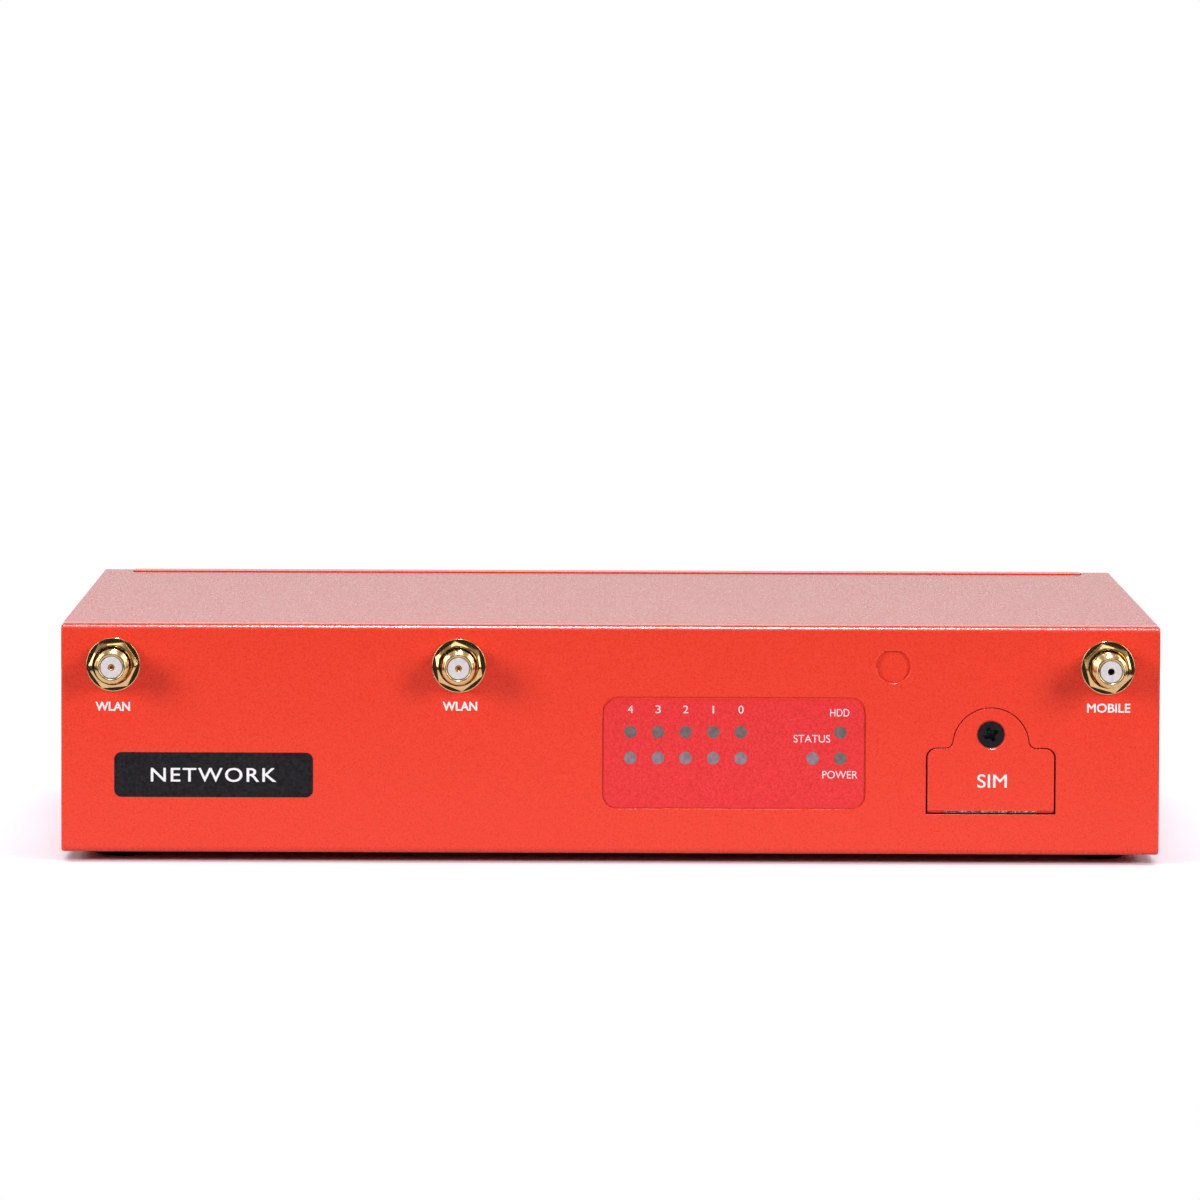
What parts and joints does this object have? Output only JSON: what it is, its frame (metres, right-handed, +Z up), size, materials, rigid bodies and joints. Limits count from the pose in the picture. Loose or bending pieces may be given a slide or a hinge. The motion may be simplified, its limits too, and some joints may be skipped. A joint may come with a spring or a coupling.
{
  "type": "firewall appliance",
  "caption": "Flat sheet-metal desktop network appliance with antenna jacks, lamp panel and screwed SIM door in front, network jacks behind.",
  "frame": {"origin": "centre of the bounding box's bottom: the plane that the feet stand on", "axes": "+X to the right of the front, +Y from the front to the back, +Z up"},
  "size_m": [0.21, 0.1616, 0.0461],
  "materials": {
    "red_powder_coat": "fine-textured red powder coat, satin",
    "label_film": "satin red overlay film",
    "light_pipe": "clear moulded plastic",
    "gold_plate": "polished gold plating over brass",
    "white_ptfe": "smooth white fluoropolymer",
    "black_screw": "black oxide, satin",
    "rubber": "matt black rubber",
    "plated_steel": "nickel-plated sheet",
    "card_plastic": "white card plastic",
    "black_plastic": "moulded black plastic",
    "board_mask": "green solder mask",
    "bright_steel": "bright plated steel",
    "heatsink_aluminium": "extruded aluminium",
    "cable_jacket": "thin black coaxial jacket"
  },
  "bodies": {
    "case": {"board_screw_left_front": "bright_steel", "board_screw_left_rear": "bright_steel", "board_screw_right_front": "bright_steel", "board_screw_right_rear": "bright_steel", "chassis": "red_powder_coat", "coin_cell": "bright_steel", "console_jack": "plated_steel", "cover_screw_left_front": "black_screw", "cover_screw_left_rear": "black_screw", "cover_screw_right_front": "black_screw", "cover_screw_right_rear": "black_screw", "dc_inlet": "black_plastic", "foot_front_left": "rubber", "foot_front_right": "rubber", "foot_rear_left": "rubber", "foot_rear_right": "rubber", "heatsink": "heatsink_aluminium", "lan_jack_0": "plated_steel", "lan_jack_1": "plated_steel", "lan_jack_2": "plated_steel", "lan_jack_3": "plated_steel", "lan_jack_4": "plated_steel", "mainboard": "board_mask", "memory_module": "board_mask", "mobile_contact": "gold_plate", "mobile_insulator": "white_ptfe", "mobile_jack": "gold_plate", "mobile_module": "board_mask", "mobile_nut": "gold_plate", "mobile_pigtail": "cable_jacket", "mobile_washer": "gold_plate", "port_light_pipe": "light_pipe", "power_switch": "black_plastic", "reset_switch": "black_plastic", "sim_bracket": "plated_steel", "sim_socket": "plated_steel", "status_label": "label_film", "status_light_pipe": "light_pipe", "storage_module": "board_mask", "top_cover": "red_powder_coat", "usb_jack": "plated_steel", "video_jack": "plated_steel", "wlan_left_contact": "gold_plate", "wlan_left_insulator": "white_ptfe", "wlan_left_jack": "gold_plate", "wlan_left_nut": "gold_plate", "wlan_left_pigtail": "cable_jacket", "wlan_left_washer": "gold_plate", "wlan_middle_contact": "gold_plate", "wlan_middle_insulator": "white_ptfe", "wlan_middle_jack": "gold_plate", "wlan_middle_nut": "gold_plate", "wlan_middle_pigtail": "cable_jacket", "wlan_middle_washer": "gold_plate", "wlan_module": "board_mask"},
    "sim_door": {"sim_door": "red_powder_coat"},
    "door_screw": {"sim_door_screw": "black_screw"},
    "sim_card": {"sim_card": "card_plastic"},
    "power_button": {"power_button": "black_plastic"},
    "reset_button": {"reset_button": "black_plastic"}
  },
  "joints": [
    {"name": "sim_door_tilt", "type": "hinge", "parent": "case", "child": "sim_door", "pos_m": [0.07275, -0.07025, 0.0094], "axis": [1, 0, 0], "range_deg": [0, 70]},
    {"name": "door_screw_turn", "type": "hinge", "parent": "sim_door", "child": "door_screw", "pos_m": [0.07275, -0.07065, 0.0251], "axis": [0, -1, 0], "continuous": true},
    {"name": "sim_card_slide", "type": "slide", "parent": "case", "child": "sim_card", "axis": [0, -1, 0], "range_m": [-0.0006, 0.0035]},
    {"name": "power_button_press", "type": "slide", "parent": "case", "child": "power_button", "axis": [0, -1, 0], "range_m": [0, 0.0015], "stiffness_N_per_m": 300},
    {"name": "reset_button_press", "type": "slide", "parent": "case", "child": "reset_button", "axis": [0, -1, 0], "range_m": [0, 0.0004], "stiffness_N_per_m": 300}
  ]
}
